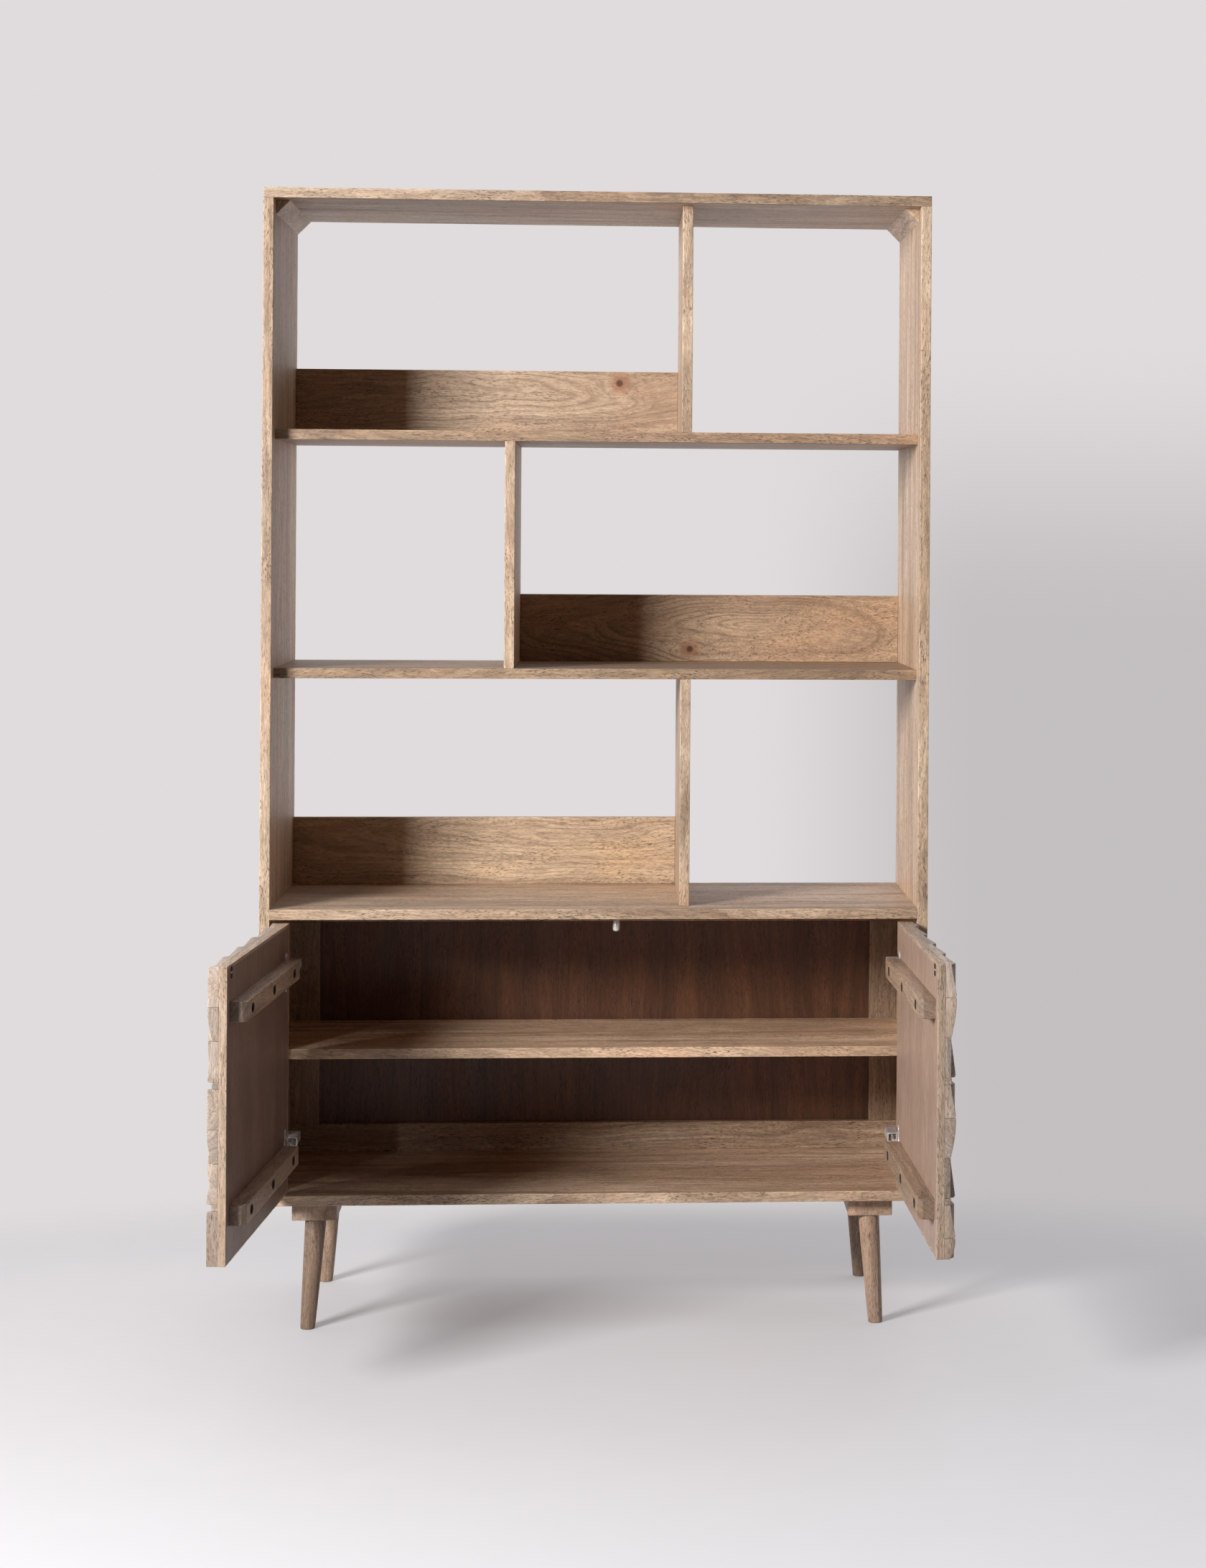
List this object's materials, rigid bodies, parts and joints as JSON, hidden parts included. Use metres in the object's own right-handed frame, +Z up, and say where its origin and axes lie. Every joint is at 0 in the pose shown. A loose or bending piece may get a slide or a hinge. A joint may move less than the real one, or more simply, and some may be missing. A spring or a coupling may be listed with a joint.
{
  "type": "bookcase with cabinet doors",
  "caption": "Tall open bookcase with staggered square bays over a low cabinet, carved block doors on hidden hinges, splayed round legs.",
  "frame": {"origin": "on the floor, midway between the sides, in the plane of the case's front", "axes": "+Z up, -Y out of the front where the doors open, +X to the right of someone facing the front"},
  "size_m": [1.1158, 0.9285, 1.878],
  "materials": {
    "mango_wood": "satin clear lacquer, grain and small knots",
    "back_panel_wood": "dark reddish stained board",
    "leg_wood": "satin lacquer, straight grain",
    "runner_wood": "satin lacquer",
    "door_board_wood": "satin lacquer, broad grain",
    "lipping_wood": "satin lacquer, light solid edge",
    "carved_wood": "greyed lacquered offcuts, each of its own tone",
    "batten_wood": "satin lacquer",
    "zinc_screws": "dull zinc plate",
    "nickel_plated_steel": "bright nickel plate",
    "dark_steel": "dark plate",
    "bright_steel": "bright"
  },
  "bodies": {
    "root": {"back_left_leg": "leg_wood", "back_panel_screws": "zinc_screws", "back_right_leg": "leg_wood", "bottom_panel": "mango_wood", "cabinet_back_panel": "back_panel_wood", "cabinet_shelf": "mango_wood", "cabinet_top": "mango_wood", "front_left_leg": "leg_wood", "front_right_leg": "leg_wood", "left_back_stile": "mango_wood", "left_catch": "dark_steel", "left_corner_brace": "mango_wood", "left_hinge_arms": "nickel_plated_steel", "left_leg_runner": "runner_wood", "left_mounting_plates": "nickel_plated_steel", "left_plate_screws": "zinc_screws", "left_side": "mango_wood", "lower_back_frame_rail": "mango_wood", "lower_back_rail": "mango_wood", "lower_divider": "mango_wood", "middle_back_rail": "mango_wood", "middle_divider": "mango_wood", "middle_shelf": "mango_wood", "right_back_stile": "mango_wood", "right_catch": "bright_steel", "right_corner_brace": "mango_wood", "right_hinge_arms": "nickel_plated_steel", "right_leg_runner": "runner_wood", "right_mounting_plates": "nickel_plated_steel", "right_plate_screws": "zinc_screws", "right_side": "mango_wood", "top_panel": "mango_wood", "upper_back_frame_rail": "mango_wood", "upper_back_rail": "mango_wood", "upper_divider": "mango_wood", "upper_shelf": "mango_wood"},
    "left_door": {"left_batten_screws": "zinc_screws", "left_door_board": "door_board_wood", "left_door_carving": "carved_wood", "left_door_lipping": "lipping_wood", "left_hinge_cups": "nickel_plated_steel", "left_hinge_pins": "nickel_plated_steel", "left_hinge_screws": "zinc_screws", "left_lower_batten": "batten_wood", "left_strike_plate": "dark_steel", "left_upper_batten": "batten_wood"},
    "right_door": {"right_batten_screws": "zinc_screws", "right_door_board": "door_board_wood", "right_door_carving": "carved_wood", "right_door_lipping": "lipping_wood", "right_hinge_cups": "nickel_plated_steel", "right_hinge_pins": "nickel_plated_steel", "right_hinge_screws": "zinc_screws", "right_lower_batten": "batten_wood", "right_strike_plate": "dark_steel", "right_upper_batten": "batten_wood"},
    "left_hinge_links": {"left_hinge_links": "nickel_plated_steel"},
    "right_hinge_links": {"right_hinge_links": "nickel_plated_steel"}
  },
  "joints": [
    {"name": "left_door_hinge", "type": "hinge", "parent": "root", "child": "left_door", "pos_m": [-0.529, 0, 0.4515], "axis": [0, 0, 1], "range_deg": [-16, 94]},
    {"name": "right_door_hinge", "type": "hinge", "parent": "root", "child": "right_door", "pos_m": [0.529, 0, 0.4515], "axis": [0, 0, 1], "range_deg": [-91.3, 18.7]},
    {"name": "left_link_pivot", "type": "hinge", "parent": "left_door", "child": "left_hinge_links", "pos_m": [-0.50512, -0.00969, 0.4515], "axis": [0, 0, 1], "range_deg": [-103.5, 17.7]},
    {"name": "right_link_pivot", "type": "hinge", "parent": "right_door", "child": "right_hinge_links", "pos_m": [0.50469, -0.00855, 0.4515], "axis": [0, 0, 1], "range_deg": [-20.7, 100.5]}
  ],
  "couplings": [
    {"joint": "left_link_pivot", "follows": "left_door_hinge", "ratio": -1.1},
    {"joint": "right_link_pivot", "follows": "right_door_hinge", "ratio": -1.1}
  ]
}
